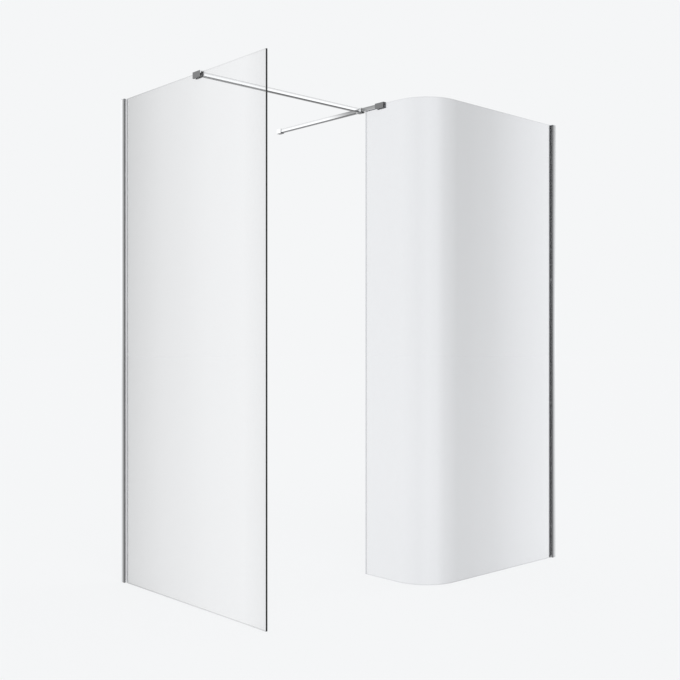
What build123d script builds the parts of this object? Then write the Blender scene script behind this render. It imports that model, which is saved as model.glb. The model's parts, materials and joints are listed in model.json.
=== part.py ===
from build123d import *
import os

# Corner walk-in shower enclosure: a flat side screen, a curved screen and a square bar frame.
# Millimetres, +Z up. The origin is at floor level, in the middle of the outline. Wall A is the
# plane at the +Y side, wall B the plane at the +X side, and the open entry faces -Y.

os.makedirs("parts", exist_ok=True)

# Overall layout, all measured to glass faces or walls
glass_height = 1850.0
glass_thickness = 8.0
side_screen_depth = 886.0        # wall A to the free edge of the flat side screen
curved_screen_depth = 877.0      # wall A to the outer face of the long flat of the curved screen
span_to_wall_b = 1583.0          # middle of the side screen to wall B
return_spacing = 769.0           # middle of the side screen to the middle of the return
bend_radius = 152.0              # outer face of the bend
return_length = 175.0            # flat of the return, from its free edge to the bend
glass_arris = 0.8

# Wall channels: one extruded section for both walls
channel_width = 19.5
channel_depth = 24.0
channel_wall = 1.5
channel_web = 2.0
channel_corner = 1.0
lip_thickness = 1.0
lip_reach = 1.5
gasket_seat = 5.0                # clear height between the two lips of a leg
glass_to_wall = 9.0              # glass edge to wall as set up
screw_hole_radius = 2.5
screw_hole_count = 4
screw_hole_end = 130.0           # end holes to each end of the channel

# Soft gaskets in the channel mouths
gasket_gap = 0.3                 # running gap from gasket to glass
gasket_fit = 0.1                 # gap between a gasket foot and its seat
gasket_taper = 1.2
gasket_overhang = 1.0

# Caps on the channel tops
cap_gap = 0.3                    # cap to the glass edge under it
cap_thickness = 1.5
cap_tongue = 8.0
cap_tongue_thickness = 2.6

# Square bars and their fittings
bar_size = 15.0
bar_wall = 1.5
bar_corner = 1.2
bar_inner_corner = 0.4
bar_top_gap = 0.3                # glass edge to the inside of the wall bar's top
bar_slot_gap = 0.5               # glass face to the side of the slot in the wall bar
bar_slot_lead = 2.0              # slot end to the free edge of the return
cross_bar_distance = 33.0        # free edge of the return to the axis of the cross bar
sleeve_wall = 2.35
sleeve_gap = 0.15                # running gap round a bar in its sleeve or pocket
sleeve_edge = 0.8
tee_length = 28.0
socket_length = 27.0
socket_base = 3.0
socket_end_gap = 4.5             # bar end to the floor of the wall socket
socket_hole_radius = 2.5
spigot_length = 20.0
spigot_gap = 0.1

# Glass clamps
clamp_length = 47.0
clamp_width = 18.0
clamp_height = 22.0
clamp_rise = 5.0                 # clamp top above the glass edge
clamp_edge = 0.8
pad_thickness = 1.0
pad_gap = 0.3                    # pad to glass
pad_fit = 0.05                   # pad to slot
pocket_length = 22.0             # how far the wall bar runs into its clamp
side_clamp_shift = 9.5           # axis of the cross bar to the middle of its clamp
return_clamp_distance = 81.5     # free edge of the return to the middle of its clamp

# Socket set screws
screw_radius = 2.45
screw_hole_gap = 0.05
screw_recess = 0.2               # how deep a screw sits below the face
hex_across = 2.5
hex_depth = 1.3
side_screw_spacing = 30.0
side_screw_drop = 9.0
spigot_screw_setback = 10.0
spigot_screw_bite = 2.5
socket_screw_set_back = 7.0      # front face of the wall socket to its set screw

cut_margin = 1.0                 # how far a cut starts outside the face it goes into

# Places worked out from the layout
overall_width = span_to_wall_b + max(channel_width, clamp_width) / 2
wall_b_x = overall_width / 2
wall_a_y = side_screen_depth / 2
side_x = wall_b_x - span_to_wall_b
return_x = side_x + return_spacing
long_y = wall_a_y - curved_screen_depth + glass_thickness / 2
return_edge_y = wall_a_y - curved_screen_depth + bend_radius + return_length
cross_bar_y = return_edge_y + cross_bar_distance
side_clamp_y = cross_bar_y + side_clamp_shift
return_clamp_y = return_edge_y - return_clamp_distance
bar_z = glass_height + bar_top_gap + bar_wall - bar_size / 2
bar_inside = bar_size - 2 * bar_wall
fitting_size = bar_size + 2 * (sleeve_gap + sleeve_wall)
bore_size = bar_size + 2 * sleeve_gap
slot_width = glass_thickness + 2 * (pad_gap + pad_thickness + pad_fit)
clamp_top = glass_height + clamp_rise
clamp_bottom = clamp_top - clamp_height
slot_top = glass_height + pad_gap + pad_thickness + pad_fit
channel_height = glass_height + cap_gap
hole_radius = screw_radius + screw_hole_gap

# In a channel's own plane x runs across the glass and y runs out from the wall
side_channel_plane = Plane(origin=(side_x, wall_a_y, 0), x_dir=(-1, 0, 0), z_dir=(0, 0, 1))
long_channel_plane = Plane(origin=(wall_b_x, long_y, 0), x_dir=(0, 1, 0), z_dir=(0, 0, 1))


def finish(builder, name):
    """Label a finished piece and write its file."""
    builder.part.label = name
    export_step(builder.part, f"parts/{name}.step")


def arrised(builder):
    """Take the sharp arris off every edge of a glass panel."""
    chamfer(builder.edges(), length=glass_arris)


# Flat side screen, 8 mm glass standing on the floor
with BuildPart() as side_glass:
    panel_depth = side_screen_depth - glass_to_wall
    with BuildSketch(Plane.XY):
        with Locations((side_x, wall_a_y - glass_to_wall - panel_depth / 2)):
            Rectangle(glass_thickness, panel_depth)
    extrude(amount=glass_height)
    arrised(side_glass)
finish(side_glass, "side_glass_panel")

# Curved screen: the return, the bend and the long flat are one bent sheet
with BuildPart() as curved_glass:
    outer_x = return_x - glass_thickness / 2
    outer_y = long_y - glass_thickness / 2
    inner_x = outer_x + glass_thickness
    inner_y = outer_y + glass_thickness
    edge_x = wall_b_x - glass_to_wall
    with BuildSketch(Plane.XY) as bent_section:
        with BuildLine():
            Polyline(
                (outer_x, return_edge_y),
                (outer_x, outer_y),
                (edge_x, outer_y),
                (edge_x, inner_y),
                (inner_x, inner_y),
                (inner_x, return_edge_y),
                close=True,
            )
        make_face()
        corners = bent_section.vertices()
        fillet(corners.sort_by_distance((outer_x, outer_y, 0))[0], radius=bend_radius)
        corners = bent_section.vertices()
        fillet(corners.sort_by_distance((inner_x, inner_y, 0))[0], radius=bend_radius - glass_thickness)
    extrude(amount=glass_height)
    arrised(curved_glass)
finish(curved_glass, "curved_glass_panel")


def wall_channel(plane):
    """Extruded U section with lipped legs and a row of screw holes in its web."""
    inside = channel_width / 2 - channel_wall
    row = (channel_height - 2 * screw_hole_end) / (screw_hole_count - 1)
    with BuildPart() as channel:
        with BuildSketch(plane) as section:
            with Locations((0, channel_depth / 2)):
                Rectangle(channel_width, channel_depth)
            fillet(section.vertices(), radius=channel_corner)
            with Locations((0, channel_depth)):
                Rectangle(2 * inside, 2 * (channel_depth - channel_web), mode=Mode.SUBTRACT)
            for side in (1, -1):
                for lip in (0, 1):
                    lip_y = channel_depth - lip_thickness / 2 - lip * (gasket_seat + lip_thickness)
                    with Locations((side * (inside - lip_reach / 2), lip_y)):
                        Rectangle(lip_reach, lip_thickness)
        extrude(amount=channel_height)
        face_plane = Plane(
            origin=plane.from_local_coords(Vector(0, channel_web, channel_height / 2)),
            x_dir=plane.x_dir,
            z_dir=plane.y_dir,
        )
        with Locations(face_plane):
            with GridLocations(0, row, 1, screw_hole_count):
                Hole(screw_hole_radius, depth=channel_web)
    return channel


def gasket(plane, side):
    """Wedge gasket held between the two lips of one leg of a channel."""
    leg = channel_width / 2 - channel_wall
    seat_bottom = channel_depth - lip_thickness - gasket_seat
    tip = glass_thickness / 2 + gasket_gap
    shoulder = leg - lip_reach - gasket_fit
    with BuildPart() as strip:
        with BuildSketch(plane):
            with BuildLine():
                Polyline(
                    (side * (tip + gasket_taper), seat_bottom - lip_thickness),
                    (side * shoulder, seat_bottom - lip_thickness),
                    (side * shoulder, seat_bottom + gasket_fit),
                    (side * (leg - gasket_fit), seat_bottom + gasket_fit),
                    (side * (leg - gasket_fit), channel_depth - lip_thickness - gasket_fit),
                    (side * shoulder, channel_depth - lip_thickness - gasket_fit),
                    (side * shoulder, channel_depth + gasket_overhang),
                    (side * tip, channel_depth + gasket_overhang),
                    (side * tip, channel_depth - lip_thickness),
                    close=True,
                )
            make_face()
        extrude(amount=channel_height)
    return strip


def channel_cap(plane):
    """Cover plate on a channel top, with two tongues that reach down inside its legs."""
    tongue_end = channel_depth - 2 * lip_thickness - gasket_seat - gasket_gap
    tongue_start = channel_web + gasket_gap
    tongue_x = channel_width / 2 - channel_wall - gasket_fit - cap_tongue_thickness / 2
    tongue_y = (tongue_start + tongue_end) / 2
    with BuildPart() as cap:
        with BuildSketch(plane.offset(channel_height)) as outline:
            with Locations((0, channel_depth / 2)):
                Rectangle(channel_width, channel_depth)
            fillet(outline.vertices(), radius=channel_corner)
        extrude(amount=cap_thickness)
        with BuildSketch(plane.offset(channel_height)):
            with Locations((tongue_x, tongue_y), (-tongue_x, tongue_y)):
                Rectangle(cap_tongue_thickness, tongue_end - tongue_start)
        extrude(amount=-cap_tongue)
    return cap


# Both channels with their caps and gaskets; the outer side of each is named by its local x sign
for wall, plane, outer_side in (
    ("side", side_channel_plane, 1),
    ("long", long_channel_plane, -1),
):
    finish(wall_channel(plane), f"{wall}_wall_channel")
    finish(channel_cap(plane), f"{wall}_channel_cap")
    finish(gasket(plane, outer_side), f"{wall}_outer_gasket")
    finish(gasket(plane, -outer_side), f"{wall}_inner_gasket")


def screw_bore(plane, depth):
    """Cut a round hole for a set screw down from a plane."""
    with BuildSketch(plane.offset(cut_margin)) as bore:
        Circle(hole_radius)
    extrude(bore.sketch, amount=-(depth + cut_margin), mode=Mode.SUBTRACT)


def set_screws(places):
    """Socket set screws of one size, each on its own plane with the hex socket facing up its axis."""
    with BuildPart() as screws:
        for place, length in places:
            with BuildSketch(place.offset(-length)):
                Circle(screw_radius)
            extrude(amount=length)
            with BuildSketch(place):
                RegularPolygon(hex_across / 2, 6, major_radius=False)
            extrude(amount=-hex_depth, mode=Mode.SUBTRACT)
    return screws


# Cross bar: square tube from the side screen's clamp to the tee
cross_start_x = side_x + clamp_width / 2
cross_end_x = return_x - fitting_size / 2
cross_length = cross_end_x - cross_start_x
cross_plane = Plane(origin=(cross_start_x, cross_bar_y, bar_z), x_dir=(0, 1, 0), z_dir=(1, 0, 0))
cross_screw_x = (cross_start_x + spigot_screw_setback, cross_end_x - spigot_screw_setback)
bar_bottom_z = bar_z - bar_size / 2
cross_screw_planes = [
    Plane(origin=(x, cross_bar_y, bar_bottom_z + screw_recess), x_dir=(1, 0, 0), z_dir=(0, 0, -1))
    for x in cross_screw_x
]
spigot_size = bar_inside - 2 * spigot_gap
spigot_bottom_z = bar_z - spigot_size / 2
cross_screw_length = spigot_bottom_z + spigot_screw_bite - bar_bottom_z - screw_recess

with BuildPart() as cross_bar:
    with BuildSketch(cross_plane):
        RectangleRounded(bar_size, bar_size, bar_corner)
        RectangleRounded(bar_inside, bar_inside, bar_inner_corner, mode=Mode.SUBTRACT)
    extrude(amount=cross_length)
    for screw_plane in cross_screw_planes:
        screw_bore(screw_plane, bar_wall)
finish(cross_bar, "cross_bar")
finish(set_screws([(p, cross_screw_length) for p in cross_screw_planes]), "cross_bar_set_screws")

# Wall bar: square tube from the wall socket to the clamp on the return, in line with the glass.
# Its underside is slotted where it passes over the return.
bar_start_y = wall_a_y - socket_base - socket_end_gap
bar_end_y = return_clamp_y + clamp_length / 2 - pocket_length
wall_bar_plane = Plane(origin=(return_x, bar_start_y, bar_z), x_dir=(1, 0, 0), z_dir=(0, -1, 0))
bar_slot_start_y = return_edge_y + bar_slot_lead
bar_slot_width = glass_thickness + 2 * bar_slot_gap
bar_slot_length = bar_slot_start_y - bar_end_y + bar_slot_width
with BuildPart() as wall_bar:
    with BuildSketch(wall_bar_plane):
        RectangleRounded(bar_size, bar_size, bar_corner)
        RectangleRounded(bar_inside, bar_inside, bar_inner_corner, mode=Mode.SUBTRACT)
    extrude(amount=bar_start_y - bar_end_y)
    with BuildSketch(Plane.XY.offset(bar_bottom_z - cut_margin)):
        with Locations((return_x, bar_slot_start_y - bar_slot_length / 2)):
            SlotOverall(bar_slot_length, bar_slot_width, rotation=90)
    extrude(amount=bar_wall + 2 * cut_margin, mode=Mode.SUBTRACT)
finish(wall_bar, "wall_bar")


# Tee: a square sleeve that runs on the wall bar, with a spigot for the cross bar
tee_bottom_z = bar_z - fitting_size / 2
tee_screw_plane = Plane(
    origin=(return_x, cross_bar_y, tee_bottom_z), x_dir=(1, 0, 0), z_dir=(0, 0, -1)
)
tee_screw_length = sleeve_wall - screw_recess
with BuildPart() as tee:
    with BuildSketch(Plane.XZ.offset(-cross_bar_y - tee_length / 2)):
        with Locations((return_x, bar_z)):
            Rectangle(fitting_size, fitting_size)
    extrude(amount=tee_length)
    fillet(tee.edges(), radius=sleeve_edge)
    with BuildSketch(Plane.XZ.offset(-cross_bar_y - tee_length / 2)):
        with Locations((return_x, bar_z)):
            RectangleRounded(bore_size, bore_size, bar_corner)
    extrude(amount=tee_length, mode=Mode.SUBTRACT)
    with BuildSketch(Plane.YZ.offset(cross_end_x - spigot_length)):
        with Locations((cross_bar_y, bar_z)):
            RectangleRounded(spigot_size, spigot_size, bar_inner_corner)
    extrude(amount=spigot_length + sleeve_wall / 2)
    screw_bore(tee_screw_plane, sleeve_wall + sleeve_gap)
    screw_bore(cross_screw_planes[1].offset(-bar_wall), spigot_screw_bite + spigot_gap + bar_wall)
finish(tee, "tee_sleeve")
finish(set_screws([(tee_screw_plane.offset(-screw_recess), tee_screw_length)]), "tee_set_screw")

# Wall socket: a square cup on wall A that holds the end of the wall bar
socket_screw_plane = Plane(
    origin=(return_x, wall_a_y - socket_length + socket_screw_set_back, tee_bottom_z),
    x_dir=(1, 0, 0),
    z_dir=(0, 0, -1),
)
with BuildPart() as socket:
    with BuildSketch(Plane.XZ.offset(-wall_a_y)):
        with Locations((return_x, bar_z)):
            Rectangle(fitting_size, fitting_size)
    extrude(amount=socket_length)
    front = socket.faces().sort_by(Axis.Y)[0]
    fillet(socket.edges().filter_by(Axis.Y) + front.edges(), radius=sleeve_edge)
    with BuildSketch(Plane.XZ.offset(-wall_a_y + socket_base)):
        with Locations((return_x, bar_z)):
            RectangleRounded(bore_size, bore_size, bar_corner)
    extrude(amount=socket_length, mode=Mode.SUBTRACT)
    with BuildSketch(Plane.XZ.offset(-wall_a_y)):
        with Locations((return_x, bar_z)):
            Circle(socket_hole_radius)
    extrude(amount=socket_base, mode=Mode.SUBTRACT)
    screw_bore(socket_screw_plane, sleeve_wall + sleeve_gap)
finish(socket, "wall_socket")
finish(set_screws([(socket_screw_plane.offset(-screw_recess), tee_screw_length)]), "wall_socket_set_screw")


def clamp_block(x, y):
    """Plain block of a clamp, centred over a glass edge."""
    with BuildSketch(Plane.XY.offset(clamp_bottom)) as block:
        with Locations((x, y)):
            Rectangle(clamp_width, clamp_length)
    extrude(block.sketch, amount=clamp_height)


def glass_slot(x, y):
    """Cut the glass slot, open at the underside, through the whole length of a clamp block."""
    with BuildSketch(Plane.XY.offset(clamp_bottom)) as slot:
        with Locations((x, y)):
            Rectangle(slot_width, clamp_length + 2 * cut_margin)
    extrude(slot.sketch, amount=slot_top - clamp_bottom, mode=Mode.SUBTRACT)


def clamp_pad(x, y, length):
    """U-shaped soft liner between a clamp slot and the glass."""
    with BuildPart() as pad:
        with BuildSketch(Plane.XY.offset(clamp_bottom)):
            with Locations((x, y)):
                Rectangle(slot_width - 2 * pad_fit, length)
        extrude(amount=slot_top - pad_fit - clamp_bottom)
        with BuildSketch(Plane.XY.offset(clamp_bottom)):
            with Locations((x, y)):
                Rectangle(glass_thickness + 2 * pad_gap, length + 2 * cut_margin)
        extrude(amount=glass_height + pad_gap - clamp_bottom, mode=Mode.SUBTRACT)
    return pad


jaw_thickness = (clamp_width - slot_width) / 2
side_screw_length = jaw_thickness - screw_recess
side_screw_z = glass_height - side_screw_drop


def jaw_screw_plane(x, y):
    """Plane on the inner face of a clamp, facing away from the glass."""
    return Plane(origin=(x + clamp_width / 2, y, side_screw_z), x_dir=(0, 1, 0), z_dir=(1, 0, 0))


# Clamp on the side screen, with the spigot that carries the cross bar
side_screw_planes = [
    jaw_screw_plane(side_x, side_clamp_y + offset)
    for offset in (-side_screw_spacing / 2, side_screw_spacing / 2)
]
with BuildPart() as side_clamp:
    clamp_block(side_x, side_clamp_y)
    fillet(side_clamp.edges(), radius=clamp_edge)
    glass_slot(side_x, side_clamp_y)
    with BuildSketch(Plane.YZ.offset(cross_start_x - jaw_thickness / 2)):
        with Locations((cross_bar_y, bar_z)):
            RectangleRounded(spigot_size, spigot_size, bar_inner_corner)
    extrude(amount=spigot_length + jaw_thickness / 2)
    for screw_plane in side_screw_planes:
        screw_bore(screw_plane, jaw_thickness + cut_margin)
    screw_bore(cross_screw_planes[0].offset(-bar_wall), spigot_screw_bite + spigot_gap + bar_wall)
finish(side_clamp, "side_clamp_body")
finish(clamp_pad(side_x, side_clamp_y, clamp_length), "side_clamp_pad")
finish(
    set_screws([(p.offset(-screw_recess), side_screw_length) for p in side_screw_planes]),
    "side_clamp_set_screws",
)

# Clamp on the return, with the pocket that takes the end of the wall bar
pad_length = clamp_length - pocket_length
pad_y = return_clamp_y - clamp_length / 2 + pad_length / 2
pocket_y = return_clamp_y + clamp_length / 2 - pocket_length / 2
pocket_roof = clamp_top - bar_z - bore_size / 2
return_jaw_plane = jaw_screw_plane(return_x, pad_y)
return_top_plane = Plane(origin=(return_x, pocket_y, clamp_top), x_dir=(1, 0, 0), z_dir=(0, 0, 1))
with BuildPart() as return_clamp:
    clamp_block(return_x, return_clamp_y)
    fillet(return_clamp.edges(), radius=clamp_edge)
    glass_slot(return_x, return_clamp_y)
    with BuildSketch(Plane.XZ.offset(-return_clamp_y - clamp_length / 2)):
        with Locations((return_x, bar_z)):
            RectangleRounded(bore_size, bore_size, bar_corner)
    extrude(amount=pocket_length, mode=Mode.SUBTRACT)
    screw_bore(return_jaw_plane, jaw_thickness + cut_margin)
    screw_bore(return_top_plane, pocket_roof + cut_margin)
finish(return_clamp, "return_clamp_body")
finish(clamp_pad(return_x, pad_y, pad_length), "return_clamp_pad")
finish(
    set_screws(
        [
            (return_jaw_plane.offset(-screw_recess), side_screw_length),
            (return_top_plane.offset(-screw_recess), pocket_roof - screw_recess),
        ]
    ),
    "return_clamp_set_screws",
)
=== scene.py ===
import json
import math

import bmesh
import bpy
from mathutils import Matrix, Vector

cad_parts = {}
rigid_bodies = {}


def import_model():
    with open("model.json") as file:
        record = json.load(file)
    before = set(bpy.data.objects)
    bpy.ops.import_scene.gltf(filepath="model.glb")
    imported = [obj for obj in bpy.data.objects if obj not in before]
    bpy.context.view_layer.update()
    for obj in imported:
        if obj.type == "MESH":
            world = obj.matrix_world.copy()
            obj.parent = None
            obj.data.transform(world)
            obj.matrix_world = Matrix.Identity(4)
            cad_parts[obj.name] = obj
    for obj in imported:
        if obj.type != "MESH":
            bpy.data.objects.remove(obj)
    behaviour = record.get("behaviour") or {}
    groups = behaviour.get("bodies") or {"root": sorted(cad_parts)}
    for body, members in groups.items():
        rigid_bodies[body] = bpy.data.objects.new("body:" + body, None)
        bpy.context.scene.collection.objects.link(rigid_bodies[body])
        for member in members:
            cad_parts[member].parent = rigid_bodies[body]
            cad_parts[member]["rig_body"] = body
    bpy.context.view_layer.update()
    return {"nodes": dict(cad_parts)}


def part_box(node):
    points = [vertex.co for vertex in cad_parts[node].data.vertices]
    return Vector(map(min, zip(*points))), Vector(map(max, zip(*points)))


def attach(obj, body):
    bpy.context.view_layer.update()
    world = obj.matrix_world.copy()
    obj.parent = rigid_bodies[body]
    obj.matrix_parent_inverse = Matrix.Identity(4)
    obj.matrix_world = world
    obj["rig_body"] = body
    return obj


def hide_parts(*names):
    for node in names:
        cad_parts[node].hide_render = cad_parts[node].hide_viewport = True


# Walk-in shower enclosure: clear screens, bright wall channels, a T of square bars.
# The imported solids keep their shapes. This file gives them their finishes, and makes
# the set screws and the ribbed gaskets anew. Sizes are in metres unless a note says otherwise.

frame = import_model()
nodes = frame["nodes"]
print("frame loaded:", len(nodes), "nodes")


class Wire:  # one socket of a shader or geometry tree, with plain arithmetic on it
    def __init__(self, maker, socket):
        self.maker, self.socket = maker, socket

    def math(self, operation, *others): return self.maker.math(operation, self, *others)
    def __add__(self, other): return self.math("ADD", other)
    def __radd__(self, other): return self.math("ADD", other)
    def __sub__(self, other): return self.math("SUBTRACT", other)
    def __rsub__(self, other): return self.maker.math("SUBTRACT", other, self)
    def __mul__(self, other): return self.math("MULTIPLY", other)
    def __rmul__(self, other): return self.math("MULTIPLY", other)
    def __truediv__(self, other): return self.math("DIVIDE", other)
    def above(self, edge): return self.math("GREATER_THAN", edge)
    def below(self, edge): return self.math("LESS_THAN", edge)
    def larger(self, other): return self.math("MAXIMUM", other)


class Made:  # a node that was just added
    def __init__(self, maker, node):
        self.maker, self.node = maker, node

    def out(self, name=0):
        return Wire(self.maker, self.node.outputs[name])


class Maker:  # adds nodes to one tree
    def __init__(self, tree):
        self.tree = tree
        tree.nodes.clear()

    def add(self, kind, settings=None, inputs=None):
        node = self.tree.nodes.new(kind)
        for name, value in (settings or {}).items():
            if name == "stops":  # colour ramp stops, as (place, grey)
                ramp = node.color_ramp
                while len(ramp.elements) < len(value):
                    ramp.elements.new(0.5)
                for element, (place, grey) in zip(ramp.elements, value):
                    element.position = place
                    element.color = (grey, grey, grey, 1)
            else:
                setattr(node, name, value)
        for name, value in (inputs or {}).items():
            if isinstance(value, Wire):
                self.tree.links.new(value.socket, node.inputs[name])
            else:
                node.inputs[name].default_value = value
        return Made(self, node)

    def math(self, operation, *values):
        return self.add("ShaderNodeMath", {"operation": operation}, dict(enumerate(values))).out()

    def vector(self, x=0.0, y=0.0, z=0.0):
        return self.add("ShaderNodeCombineXYZ", {}, {0: x, 1: y, 2: z}).out()

    def tinted(self, value, tint):  # one number times a colour
        grey = self.add("ShaderNodeCombineColor", {}, {"Red": value, "Green": value, "Blue": value}).out()
        return self.add("ShaderNodeVectorMath", {"operation": "MULTIPLY"}, {0: grey, 1: tint}).out()

    def ramp(self, value, stops):  # grey stops, read back as one number
        colour = self.add("ShaderNodeValToRGB", {"stops": stops}, {"Fac": value}).out("Color")
        return self.add("ShaderNodeSeparateColor", {}, {0: colour}).out()

    def band(self, value, low, high):  # 0 at low, 1 at high, smooth between
        return self.add("ShaderNodeMapRange", {"interpolation_type": "SMOOTHSTEP"}, {
            "Value": value, "From Min": low, "From Max": high}).out()


def blend(first, second, share):  # first at 0, second at 1
    return first + share * (second - first)


def layered(amounts, *noises):  # a base value, and how much each noise adds to it
    value = amounts[0]
    for amount, noise in zip(amounts[1:], noises):
        value = value + noise * amount
    return value


def grain(maker, place, noise):  # noise as its stretch along each axis, scale and detail
    stretch, scale, detail = noise
    moved = maker.add("ShaderNodeMapping", {}, {"Vector": place, "Scale": stretch}).out()
    return maker.add("ShaderNodeTexNoise", {}, {"Vector": moved, "Scale": scale, "Detail": detail}).out()


def newFinish(name):
    finish = bpy.data.materials.new(name)
    finish.use_nodes = True
    maker = Maker(finish.node_tree)
    place = maker.add("ShaderNodeTexCoord").out("Object")
    split = maker.add("ShaderNodeSeparateXYZ", {}, {0: place})
    return finish, maker, place, [split.out(axis) for axis in "XYZ"]


def closeFinish(maker, inputs, height, bump):  # bump as its strength and its depth
    strength, reach = bump
    normal = maker.add("ShaderNodeBump", {}, {"Strength": strength, "Distance": reach, "Height": height})
    shader = maker.add("ShaderNodeBsdfPrincipled", {}, {**inputs, "Normal": normal.out()})
    maker.add("ShaderNodeOutputMaterial", {}, {"Surface": shader.out()})


glass = {  # both screens
    "clearAlpha": 0.09, "darkReflectionAlpha": 0.25,    # where a panel looks lightest and darkest; the dark parts are painted reflections
    "clearTone": 0.8, "darkReflectionTone": 0.29,
    "middle": 0.9, "floorFade": 0.1,          # the painted dark reflections get lighter below this height, by this much a metre
    "edge": 0.0016, "edgeFull": 0.6,          # depth of the painted dark line along the free edge, and its share at full strength
    "face": (0.001, 0.002),                   # depth at which the outer face stops
    "stripFade": 0.001,                       # soft side of the strips beside the channels
    "rim": (0.0008, 0.0012), "rimShade": 0.4,  # painted dark top and bottom edges: height at full strength and in all
    "wave": ((1, 1, 0.35), 2.2, 1),           # slow roller wave of toughened glass
    "specks": ((1, 1, 1), 420, 2),
    "roughness": (0.02, 0.03), "bump": (0.05, 0.002),
    "ior": 1.5, "specular": 0.25,
}
sideScreen = {
    "tint": (0.985, 0.99, 1.01),
    "tones": ((0.0, 0.38), (0.02, 0.3), (0.05, 0.23), (0.14, 0.0),  # painted reflection bands, free edge to channel, 0 clear, 1 darkest
              (0.36, 0.15), (0.52, 0.35), (0.7, 0.52), (0.95, 0.9)),
    "strip": (0.0132, 0.8, 0.88),             # painted reflection of its own channel: width, alpha, tone
    "line": (0.003, 0.2, 0.6),                # painted light line next to that strip: width, added alpha, tone
    "rims": (0.1, 0.26),                      # added alpha of the painted dark top and bottom edges
    "edgeAlpha": 1.0,
    "arris": (0.0008, 0.0014, 0.2),           # lit outer corner of the free edge: start, end, tone
}
curvedScreen = {
    "tint": (0.95, 0.975, 1.05),
    # painted reflection bands round the bend, from the free edge, 0 clear, 1 darkest
    "tones": ((0.0, 0.2), (0.17, 0.22), (0.25, 0.45), (0.3, 0.4), (0.34, 0.51), (0.375, 0.77),
              (0.44, 1.0), (0.5, 1.0), (0.63, 0.9), (0.8, 0.62), (0.93, 0.44), (0.98, 0.3)),
    "strip": (0.014, 0.15, 0.05),             # painted dark reflection of its channel, as above, but its alpha is added
    "rims": (0.05, 0.14),
    # painted dark line along the free edge: its alpha and tone
    "edgeAlpha": 0.45, "edgeTone": 0.42,
}


def glassFinish(name, node, screen):
    finish, maker, place, (x, y, z) = newFinish(name)
    low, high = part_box(node)
    curved = screen is curvedScreen
    # the free edge gets a painted dark line, with a painted lit outer corner on the side screen
    edge, edgeFull = glass["edge"], glass["edge"] * glass["edgeFull"]
    if curved:
        start, end = low.x - high.y, high.x - low.y
        along = (x - y - start) / (end - start)  # round the bend, from the free edge
        freeEdge = maker.band(y, high.y - edge, high.y - edgeFull)
        edgeTone = screen["edgeTone"]
        run, lip, across, outside = x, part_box("long_wall_channel")[0].x, y, low.y
    else:
        arrisStart, arrisEnd, arrisTone = screen["arris"]
        along = (y - low.y) / (high.y - low.y)
        freeEdge = 1 - maker.band(y, low.y + edgeFull, low.y + edge)
        freeEdge = freeEdge * maker.band(x, low.x, low.x + arrisStart)  # the outer face stays clear
        edgeTone = (1 - maker.band(x, low.x + arrisStart, low.x + arrisEnd)) * arrisTone
        run, lip, across, outside = y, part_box("side_wall_channel")[0].y, x, low.x
    # painted reflections: how dark each place on the panel is made, through tone and alpha
    depth = maker.ramp(along, screen["tones"]) * (1 + (z - glass["middle"]) * glass["floorFade"])
    alpha = blend(glass["clearAlpha"], glass["darkReflectionAlpha"], depth)
    tone = blend(glass["clearTone"], glass["darkReflectionTone"], depth)

    faceStart, faceEnd = glass["face"]
    outerFace = 1 - maker.band(across, outside + faceStart, outside + faceEnd)
    # painted reflection strip of the channel on the outer face; the side screen also gets a painted light
    # line beside it
    width, stripAlpha, stripTone = screen["strip"]
    stripEdge = lip - width
    strip = maker.band(run, stripEdge - glass["stripFade"], stripEdge) * outerFace
    alpha = alpha + strip * stripAlpha if curved else blend(alpha, stripAlpha, strip)
    tone = blend(tone, stripTone, strip)
    if "line" in screen:
        width, lineAlpha, lineTone = screen["line"]
        lineEdge = stripEdge - width
        line = maker.band(run, lineEdge - glass["stripFade"], lineEdge) * outerFace - strip
        alpha = alpha + line * lineAlpha
        tone = blend(tone, lineTone, line)

    # painted dark lines along the top and bottom edges
    rimFull, rimEnd = glass["rim"]
    topRim = maker.band(z, high.z - rimEnd, high.z - rimFull)
    footRim = 1 - maker.band(z, low.z + rimFull, low.z + rimEnd)
    topAlpha, footAlpha = screen["rims"]
    alpha = alpha + topRim * topAlpha + footRim * footAlpha
    tone = tone * (1 - (topRim + footRim) * glass["rimShade"])
    wave = grain(maker, place, glass["wave"])
    specks = grain(maker, place, glass["specks"])
    closeFinish(maker, {
        "Base Color": maker.tinted(blend(tone, edgeTone, freeEdge), screen["tint"]),
        "Alpha": blend(alpha, screen["edgeAlpha"], freeEdge),
        "Roughness": layered(glass["roughness"], specks),
        "IOR": glass["ior"],
        "Specular IOR Level": glass["specular"],
        "Metallic": 0.0,
    }, wave, glass["bump"])
    return finish


channel = {  # both wall channels
    "tint": (0.985, 0.99, 1.0),
    "front": (0.965, 0.985),                  # share of the depth at which the lip faces start
    "dieLines": ((1, 1, 0.004), 900, 2),      # fine lines along the extrusion
    "cloud": ((1, 1, 0.3), 14, 2),
    "shade": (0.98, 0.04), "roughness": (0.14, 0.08, 0.04), "bump": (0.07, 0.0001),
}
sideChannel = {
    "tones": ((0.0, 1.0), (0.2, 0.97), (0.5, 0.62), (0.8, 0.33), (0.97, 0.19)),  # painted reflections and shade, from the wall to the lips
    "fronts": (0.2, 1.0),                     # painted light and shade of the lip faces outside and inside the shower
}
longChannel = {
    "tones": ((0.0, 1.0), (0.2, 0.97), (0.5, 0.68), (0.8, 0.42), (0.97, 0.28)),
    "rise": ((0.04, 0.92), (0.25, 1.0), (0.48, 1.0), (0.6, 0.92),  # painted shade along the height, from the floor to the top
             (0.76, 0.8), (0.94, 0.65), (0.985, 0.58)),
    "fronts": (0.2, 0.12),
}


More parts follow.
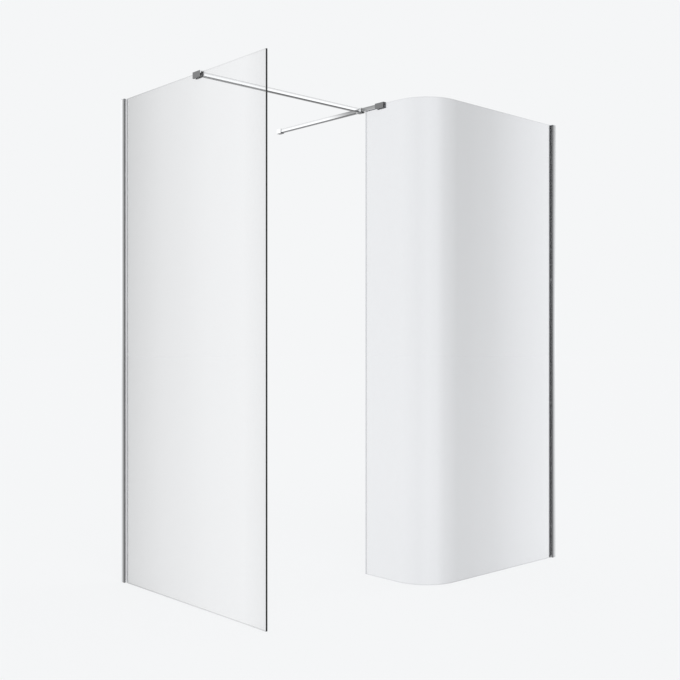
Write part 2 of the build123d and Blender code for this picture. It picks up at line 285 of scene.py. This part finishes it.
def channelFinish(name, node, profile):
    finish, maker, place, (x, y, z) = newFinish(name)
    low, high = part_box(node)
    size, middle = high - low, (low + high) / 2
    if profile is sideChannel:
        depth, inside = (high.y - y) / size.y, x.above(middle.x)  # depth is 0 at the wall, 1 at the lips
    else:
        depth, inside = (high.x - x) / size.x, y.above(middle.y)
    # painted reflections and shade by depth, height and lip face
    tone = maker.ramp(depth, profile["tones"])
    if "rise" in profile:
        tone = tone * maker.ramp(z / high.z, profile["rise"])
    outer, inner = profile["fronts"]
    tone = blend(tone, blend(outer, inner, inside), maker.band(depth, *channel["front"]))
    lines = grain(maker, place, channel["dieLines"])
    cloud = grain(maker, place, channel["cloud"])
    closeFinish(maker, {
        "Base Color": maker.tinted(tone * layered(channel["shade"], cloud), channel["tint"]),
        "Metallic": 1.0,
        "Roughness": layered(channel["roughness"], lines, cloud),
    }, lines, channel["bump"])
    return finish


bars = {  # both bars, with heights from the underside
    "tint": (0.99, 0.995, 1.0),
    "underFull": 0.5,                         # share of the underside's reach at full strength
    "upper": (0.0088, 0.0098),                # where the painted darker upper part of a face starts
    "crown": (0.0136, 0.0142),                # where its painted dark upper edge starts
    "cloud": ((1, 1, 1), 25, 2),
    "roughness": (0.05, 0.05, 0.04), "bump": (0.06, 0.0001),
}
crossBar = {
    "upperTone": 0.75, "crownTone": 0.2,
    "underTone": 0.05, "underReach": 0.003,   # painted dark underside, and how far it shows up the faces
    "polish": ((0.01, 1, 1), 700, 2),         # polishing lines along the tube
}
wallBar = {
    "upperTone": 0.82, "crownTone": 0.4,
    "underTone": 0.05, "underReach": 0.002,
    "polish": ((1, 0.01, 1), 700, 2),
    "grey": (-0.04, 0.13, 0.36),              # painted shade near the clamp: where grey in full, where not at all, its tone
    "overGlass": (-0.1, 0.62),                # painted lighter reflection on its underside over the return: where it starts, and its tone
}


def barFinish(name, node, bar):
    finish, maker, place, (x, y, z) = newFinish(name)
    low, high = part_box(node)
    # painted light and shade by height: a darker upper part and upper edge, and a dark underside
    upper, crown = (maker.band(z, *(low.z + height for height in bars[part]))
                    for part in ("upper", "crown"))
    reach, underTone = bar["underReach"], bar["underTone"]
    under = 1 - maker.band(z, low.z + reach * bars["underFull"], low.z + reach)
    tone = blend(1, bar["upperTone"], upper)
    if bar is wallBar:
        greyFull, greyEnd, greyTone = bar["grey"]
        tone = tone * blend(1, greyTone, 1 - maker.band(y, greyFull, greyEnd))
        start, overTone = bar["overGlass"]
        underTone = blend(underTone, overTone, y.below(start))
    tone = blend(tone, bar["crownTone"], crown)
    tone = blend(tone, underTone, under)
    polish = grain(maker, place, bar["polish"])
    cloud = grain(maker, place, bars["cloud"])
    closeFinish(maker, {
        "Base Color": maker.tinted(tone, bars["tint"]),
        "Metallic": 1.0,
        "Roughness": layered(bars["roughness"], polish, cloud),
    }, polish, bars["bump"])
    return finish


fittings = {  # clamps, tee and wall socket, with heights from the underside
    "tint": (0.99, 0.995, 1.0),
    "face": (0.0003, 0.0008),                 # depth at which the end face and the underside stop
    "steps": (0.004, 0.012), "stepFade": 0.001,  # heights where the painted shade of the foot and the middle of the end face stop
    "paintedEndHighlight": (0.0145, 0.0005, 0.5),      # painted highlight on a clamp's end face: its start, its soft side, its tone
    "cloud": ((1, 1, 1), 90, 3), "wipes": ((0.3, 1, 1), 600, 2),
    "shade": (0.97, 0.06), "roughness": (0.1, 0.08, 0.04), "bump": (0.08, 0.0001),
}
fittingTones = {  # painted light and shade: side; top, middle and foot of the end face; underside
    "side_clamp_body": (0.2, 0.8, 0.02, 0.12, 0.12),
    "return_clamp_body": (0.2, 0.06, 0.02, 0.02, 0.12),
    "tee_sleeve": (0.8, 0.5, 0.3, 0.1, 0.08),
    "wall_socket": (1.0, 0.6, 0.5, 0.4, 0.05),
}


def fittingFinish(name, node):
    finish, maker, place, (x, y, z) = newFinish(name)
    low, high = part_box(node)
    # painted light and shade face by face: side, end face in steps, underside
    faceStart, faceEnd = fittings["face"]
    end = 1 - maker.band(y, low.y + faceStart, low.y + faceEnd)
    under = 1 - maker.band(z, low.z + faceStart, low.z + faceEnd)
    sideTone, topTone, middleTone, endTone, underTone = fittingTones[node]
    for step, nextTone in zip(fittings["steps"], (middleTone, topTone)):
        height, fade = low.z + step, fittings["stepFade"]
        endTone = blend(endTone, nextTone, maker.band(z, height - fade, height + fade))
    if node.endswith("clamp_body"):
        start, fade, edgeTone = fittings["paintedEndHighlight"]
        endTone = blend(endTone, edgeTone, maker.band(x, low.x + start - fade, low.x + start))
    tone = blend(blend(sideTone, endTone, end), underTone, under)
    cloud = grain(maker, place, fittings["cloud"])
    wipes = grain(maker, place, fittings["wipes"])
    closeFinish(maker, {
        "Base Color": maker.tinted(tone * layered(fittings["shade"], cloud), fittings["tint"]),
        "Metallic": 1.0,
        "Roughness": layered(fittings["roughness"], cloud, wipes),
    }, wipes, fittings["bump"])
    return finish


rubber = {  # gaskets and clamp liners
    "cloud": ((1, 1, 0.2), 18, 2), "shade": (0.94, 0.06, 0.06), "ior": 1.45, "bump": (0.12, 0.0001),
}
gasketRubber = {"tint": (0.21, 0.212, 0.216), "roughness": (0.5, 0.12), "specks": ((1, 1, 1), 900, 4)}
padRubber = {"tint": (0.03, 0.03, 0.032), "roughness": (0.55, 0.12), "specks": ((1, 1, 1), 1200, 4)}


def rubberFinish(name, kind):
    finish, maker, place, axes = newFinish(name)
    specks = grain(maker, place, kind["specks"])
    cloud = grain(maker, place, rubber["cloud"])
    closeFinish(maker, {
        "Base Color": maker.tinted(layered(rubber["shade"], specks, cloud), kind["tint"]),
        "Roughness": layered(kind["roughness"], specks),
        "IOR": rubber["ior"],
    }, specks, rubber["bump"])
    return finish


capGloss = {
    "tint": (0.62, 0.63, 0.65), "metallic": 0.7, "noise": ((1, 1, 1), 160, 3),
    "shade": (0.96, 0.06), "roughness": (0.16, 0.1), "coat": (0.4, 0.1), "bump": (0.06, 0.0001),
}
screwSteel = {
    "tint": (0.42, 0.42, 0.43), "metallic": 1.0, "noise": ((1, 1, 1), 1400, 3),
    "shade": (0.9, 0.16), "roughness": (0.28, 0.14), "bump": (0.15, 0.0001),
}


def metalFinish(name, kind):
    finish, maker, place, axes = newFinish(name)
    noise = grain(maker, place, kind["noise"])
    inputs = {
        "Base Color": maker.tinted(layered(kind["shade"], noise), kind["tint"]),
        "Metallic": kind["metallic"],
        "Roughness": layered(kind["roughness"], noise),
    }
    if "coat" in kind:
        inputs["Coat Weight"] = layered(kind["coat"], noise)
    closeFinish(maker, inputs, noise, kind["bump"])
    return finish


def dress(node, finish):
    mesh = nodes[node].data
    if mesh.materials:
        for place in range(len(mesh.materials)):
            mesh.materials[place] = finish
    else:
        mesh.materials.append(finish)


dress("side_glass_panel", glassFinish("sideGlass", "side_glass_panel", sideScreen))
dress("curved_glass_panel", glassFinish("curvedGlass", "curved_glass_panel", curvedScreen))
dress("side_wall_channel", channelFinish("sideChannelMetal", "side_wall_channel", sideChannel))
dress("long_wall_channel", channelFinish("longChannelMetal", "long_wall_channel", longChannel))
dress("cross_bar", barFinish("crossBarChrome", "cross_bar", crossBar))
dress("wall_bar", barFinish("wallBarChrome", "wall_bar", wallBar))
for node in fittingTones:
    dress(node, fittingFinish(node + "_chrome", node))
gasketFinish = rubberFinish("gasketRubber", gasketRubber)
padFinish = rubberFinish("padRubber", padRubber)
capFinish = metalFinish("capGloss", capGloss)
screwFinish = metalFinish("screwSteel", screwSteel)
for node in nodes:
    if node.endswith("_pad"):
        dress(node, padFinish)
    elif node.endswith("_cap"):
        dress(node, capFinish)
print("finishes given")


def newTree(name, sockets):
    tree = bpy.data.node_groups.new(name, "GeometryNodeTree")
    for label, kind in sockets.items():
        tree.interface.new_socket(label, in_out="INPUT", socket_type="NodeSocket" + kind)
    tree.interface.new_socket("Geometry", in_out="OUTPUT", socket_type="NodeSocketGeometry")
    maker = Maker(tree)
    return tree, maker, maker.add("NodeGroupInput")


def join(maker, parts):
    whole = maker.add("GeometryNodeJoinGeometry")
    for part in parts:
        maker.tree.links.new(part.socket, whole.node.inputs[0])
    return whole.out()


def endTree(maker, shape, finish):
    real = maker.add("GeometryNodeRealizeInstances", {}, {"Geometry": shape})
    done = maker.add("GeometryNodeSetMaterial", {}, {"Geometry": real.out(), "Material": finish})
    maker.add("NodeGroupOutput", {}, {"Geometry": done.out()})


def grow(name, mesh, tree, values, weld=0.000002):  # run a tree on a mesh and keep the result as a plain mesh
    source = bpy.data.objects.new(name + "Source", mesh)
    bpy.context.scene.collection.objects.link(source)
    modifier = source.modifiers.new("tree", "NODES")
    modifier.node_group = tree
    for item in tree.interface.items_tree:
        if item.in_out == "INPUT" and item.name in values:
            modifier[item.identifier] = values[item.name]
    result = bpy.data.meshes.new_from_object(source.evaluated_get(bpy.context.evaluated_depsgraph_get()))
    bpy.data.objects.remove(source)
    shape = bmesh.new()
    shape.from_mesh(result)
    bmesh.ops.remove_doubles(shape, verts=shape.verts, dist=weld)
    bmesh.ops.recalc_face_normals(shape, faces=shape.faces)
    shape.to_mesh(result)
    shape.free()
    piece = bpy.data.objects.new(name, result)
    bpy.context.scene.collection.objects.link(piece)
    return piece


def standIn(piece, node):  # it stands for the node and moves with the node's body
    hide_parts(node)
    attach(piece, nodes[node]["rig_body"])


setScrew = {
    "radius": 0.00245, "across": 0.0025, "socketDepth": 0.0013,  # across the flats of the hex socket
    "pitch": 0.0008, "threadDepth": 0.00018, "chamfer": 0.9,     # the chamfer as a share of the radius
    "sides": 36, "ringsPerTurn": 6, "plainEnds": 0.3,            # unthreaded ends, as a share of the pitch
    "lengths": {
        "side_clamp_set_screws": 0.0034, "return_clamp_set_screws": 0.0028, "cross_bar_set_screws": 0.0038,
        "tee_set_screw": 0.0021, "wall_socket_set_screw": 0.0021,
    },
}


def screwTree():
    sizes = ("Radius", "Length", "Across", "Socket Depth", "Pitch", "Thread Depth", "Chamfer")
    tree, maker, given = newTree("socketSetScrew", {
        "Faces": "Geometry", **{size: "Float" for size in sizes}, "Sides": "Int", "Steel": "Material"})
    radius, length, across, socket, pitch, thread, chamfer = (given.out(size) for size in sizes)
    sides = given.out("Sides")
    shank = maker.add("GeometryNodeMeshCylinder", {"fill_type": "NONE"}, {
        "Vertices": sides, "Side Segments": (length / pitch * setScrew["ringsPerTurn"]).math("CEIL"),
        "Radius": radius, "Depth": length})
    spot = maker.add("GeometryNodeInputPosition").out()
    split = maker.add("ShaderNodeSeparateXYZ", {}, {0: spot})
    x, y, z = (split.out(axis) for axis in "XYZ")
    down = length * 0.5 - z  # 0 at the face, the length at the point
    plain = pitch * setScrew["plainEnds"]
    wave = (down / pitch * math.tau + y.math("ARCTAN2", x)).math("SINE")
    threaded = down.above(plain) * down.below(length - plain)
    swell = threaded * (wave * thread / radius + 1 - thread / radius) + (1 - threaded) * chamfer
    shank = maker.add("GeometryNodeSetPosition", {}, {
        "Geometry": shank.out("Mesh"), "Position": maker.vector(x * swell, y * swell, 0 - down)})

    endRadius, hexRadius = radius * chamfer, across / math.sqrt(3)
    outlines = []  # of the end face and of the socket in it
    for count, size in ((sides, endRadius), (6, hexRadius)):
        ring = maker.add("GeometryNodeCurvePrimitiveCircle", {"mode": "RADIUS"}, {
            "Resolution": count, "Radius": size})
        outlines.append(ring.out("Curve"))
    face = maker.add("GeometryNodeFillCurve", {}, {0: join(maker, outlines)})
    hexagon = maker.add("GeometryNodeMeshCircle", {"fill_type": "NONE"}, {"Vertices": 6, "Radius": hexRadius})
    wall = maker.add("GeometryNodeExtrudeMesh", {"mode": "EDGES"}, {
        "Mesh": hexagon.out(), "Offset": maker.vector(z=-1.0), "Offset Scale": socket})
    floors = []  # of the socket and of the point
    for count, size, drop in ((6, hexRadius, socket), (sides, endRadius, length)):
        disc = maker.add("GeometryNodeMeshCircle", {"fill_type": "TRIANGLE_FAN"}, {
            "Vertices": count, "Radius": size})
        floors.append(maker.add("GeometryNodeTransform", {}, {
            "Geometry": disc.out(), "Translation": maker.vector(z=0 - drop)}))
    whole = join(maker, [part.out() for part in (shank, face, wall, *floors)])
    aim = maker.add("GeometryNodeInputNamedAttribute", {"data_type": "FLOAT_VECTOR"}, {"Name": "aim"})
    turned = maker.add("FunctionNodeAlignRotationToVector", {"axis": "Z"}, {"Vector": aim.out()})
    placed = maker.add("GeometryNodeInstanceOnPoints", {}, {
        "Points": given.out("Faces"), "Instance": whole, "Rotation": turned.out()})
    endTree(maker, placed.out(), given.out("Steel"))
    return tree


def screwFaces(node):  # where each screw's face is, and which way it looks
    low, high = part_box(node)
    middle, r = (low + high) / 2, setScrew["radius"]
    alongX, up, down = (1, 0, 0), (0, 0, 1), (0, 0, -1)
    pairs = {
        "side_clamp_set_screws": [
            ((high.x, low.y + r, middle.z), alongX), ((high.x, high.y - r, middle.z), alongX)],
        "return_clamp_set_screws": [
            ((high.x, low.y + r, low.z + r), alongX), ((low.x + r, high.y - r, high.z), up)],
        "cross_bar_set_screws": [
            ((low.x + r, middle.y, low.z), down), ((high.x - r, middle.y, low.z), down)],
    }
    return pairs.get(node, [((middle.x, middle.y, low.z), down)])


def makeScrews():
    tree = screwTree()
    for node, length in setScrew["lengths"].items():
        faces = screwFaces(node)
        mesh = bpy.data.meshes.new(node + "Faces")
        mesh.from_pydata([spot for spot, aim in faces], [], [])
        aims = mesh.attributes.new("aim", "FLOAT_VECTOR", "POINT")
        for item, (spot, aim) in zip(aims.data, faces):
            item.vector = aim
        piece = grow(node + "_detailed", mesh, tree, {
            "Radius": setScrew["radius"], "Length": length, "Across": setScrew["across"],
            "Socket Depth": setScrew["socketDepth"], "Pitch": setScrew["pitch"],
            "Thread Depth": setScrew["threadDepth"], "Chamfer": setScrew["chamfer"],
            "Sides": setScrew["sides"], "Steel": screwFinish})
        standIn(piece, node)


gasket = {  # millimetres, across from the glass side of the section and back from its front
    "fins": 4, "finPitch": 1.75, "finStart": 0.55,
    "tip": (0.12, 0.3),                       # second corner of a fin's tip
    "valley": (0.5, 0.62), "taper": 0.11,     # depth between fins and its place in the pitch; its growth
    "body": ((1.6, 8.0), (2.35, 8.0), (2.35, 6.9), (3.85, 6.9), (3.85, 2.1), (2.35, 2.1),
             (2.35, 0.6), (2.2, 0.2), (1.8, 0.0), (0.5, 0.0)),
}


def gasketSection():  # corners in metres
    points = list(gasket["body"])
    tipAcross, tipBack = gasket["tip"]
    valley, valleyPlace = gasket["valley"]
    for fin in range(gasket["fins"]):
        back = gasket["finStart"] + fin * gasket["finPitch"]
        points.append((0.0, back))
        points.append((tipAcross, back + tipBack))
        points.append((valley + gasket["taper"] * back, back + gasket["finPitch"] * valleyPlace))
    return [(across / 1000, back / 1000) for across, back in points]


def stripTree():
    tree, maker, given = newTree("finnedStrip", {
        "Section": "Geometry", "Height": "Float", "Rubber": "Material"})
    section, height = given.out("Section"), given.out("Height")
    drawn = maker.add("GeometryNodeExtrudeMesh", {"mode": "FACES"}, {
        "Mesh": section, "Offset": maker.vector(z=1.0), "Offset Scale": height, "Individual": False})
    foot = maker.add("GeometryNodeFlipFaces", {}, {0: section})
    endTree(maker, join(maker, (drawn.out(), foot.out())), given.out("Rubber"))
    return tree


def makeGaskets():
    tree = stripTree()
    for wall in ("side", "long"):
        for face in ("outer", "inner"):
            node = f"{wall}_{face}_gasket"
            low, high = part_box(node)
            corners = []
            for across, back in gasketSection():
                if wall == "side":
                    x = high.x - across if face == "outer" else low.x + across
                    corners.append((x, low.y + back, low.z))
                else:
                    y = high.y - across if face == "outer" else low.y + across
                    corners.append((low.x + back, y, low.z))
            mesh = bpy.data.meshes.new(node + "Section")
            mesh.from_pydata(corners, [], [list(range(len(corners)))])
            piece = grow(node + "_finned", mesh, tree, {"Height": high.z - low.z, "Rubber": gasketFinish})
            standIn(piece, node)


makeScrews()
makeGaskets()
print("set screws and gaskets made")

room = {
    "paper": (0.913, 0.9216, 0.9301, 1),      # floor and backdrop
    "floorShow": 0.15,                        # how much of the lit floor mixes into its plain colour
    "floorReach": 60.0, "floorDrop": 0.0006,
    "sky": 0.69,
    "lamps": {  # strength, softness and turn in degrees; the glows are low, for the metal's white faces
        "key": (1.15, 40, (50, 0, -25)), "fill": (0.45, 40, (60, 0, 75)),
        "frontGlow": (0.09, 50, (76, 0, 43)), "wallGlow": (0.09, 50, (76, 0, 223)),
    },
}


def seenPlain(maker):  # rays that see the plain colour: the camera's, and those that metal and glass send
    rays = maker.add("ShaderNodeLightPath")
    return rays.out("Is Camera Ray").larger(rays.out("Is Glossy Ray")).larger(rays.out("Is Transmission Ray"))


def makeWorld():
    world = bpy.data.worlds.new("paleRoom")
    bpy.context.scene.world = world
    world.use_nodes = True
    maker = Maker(world.node_tree)
    show = maker.add("ShaderNodeBackground", {}, {"Color": room["paper"], "Strength": 1.0})
    light = maker.add("ShaderNodeBackground", {}, {"Color": (1, 1, 1, 1), "Strength": room["sky"]})
    both = maker.add("ShaderNodeMixShader", {}, {0: seenPlain(maker), 1: light.out(), 2: show.out()})
    maker.add("ShaderNodeOutputWorld", {}, {"Surface": both.out()})


def makeFloor():
    mesh = bpy.data.meshes.new("floor")
    reach, height = room["floorReach"], -room["floorDrop"]
    corners = [(x * reach, y * reach, height) for x, y in ((-1, -1), (1, -1), (1, 1), (-1, 1))]
    mesh.from_pydata(corners, [], [(0, 1, 2, 3)])
    floor = bpy.data.objects.new("floor", mesh)
    bpy.context.scene.collection.objects.link(floor)
    finish = bpy.data.materials.new("floorPaper")
    finish.use_nodes = True
    maker = Maker(finish.node_tree)
    lit = maker.add("ShaderNodeBsdfDiffuse", {}, {"Color": room["paper"]})
    plain = maker.add("ShaderNodeEmission", {}, {"Color": room["paper"], "Strength": 1.0})
    plainShare = seenPlain(maker) * (1 - room["floorShow"])
    both = maker.add("ShaderNodeMixShader", {}, {0: plainShare, 1: lit.out(), 2: plain.out()})
    maker.add("ShaderNodeOutputMaterial", {}, {"Surface": both.out()})
    mesh.materials.append(finish)


def makeLamps():
    for name, (strength, softness, turn) in room["lamps"].items():
        lamp = bpy.data.lights.new(name, "SUN")
        lamp.energy, lamp.angle = strength, math.radians(softness)
        holder = bpy.data.objects.new(name, lamp)
        holder.rotation_euler = [math.radians(angle) for angle in turn]
        bpy.context.scene.collection.objects.link(holder)


view = {
    "place": (-2.6842, -2.8360, 0.9075), "ahead": (0.6796, 0.7336, 0.0),
    "focal": 960.3, "centreX": 340.5, "horizon": 345.4, "frame": 680,  # in pixels
    "sensor": 36.0, "clip": (0.05, 200.0),
}


def makeCamera():
    data = bpy.data.cameras.new("photoView")
    data.sensor_width = view["sensor"]
    data.lens = view["focal"] / view["frame"] * view["sensor"]
    data.shift_x = (view["frame"] / 2 - view["centreX"]) / view["frame"]
    data.shift_y = (view["horizon"] - view["frame"] / 2) / view["frame"]
    data.clip_start, data.clip_end = view["clip"]
    camera = bpy.data.objects.new("photoView", data)
    bpy.context.scene.collection.objects.link(camera)
    camera.location = view["place"]
    camera.rotation_euler = Vector(view["ahead"]).to_track_quat("-Z", "Y").to_euler()
    bpy.context.scene.camera = camera


makeWorld()
makeFloor()
makeLamps()
makeCamera()
bpy.context.scene.view_settings.view_transform = "Standard"
print("room and camera made")
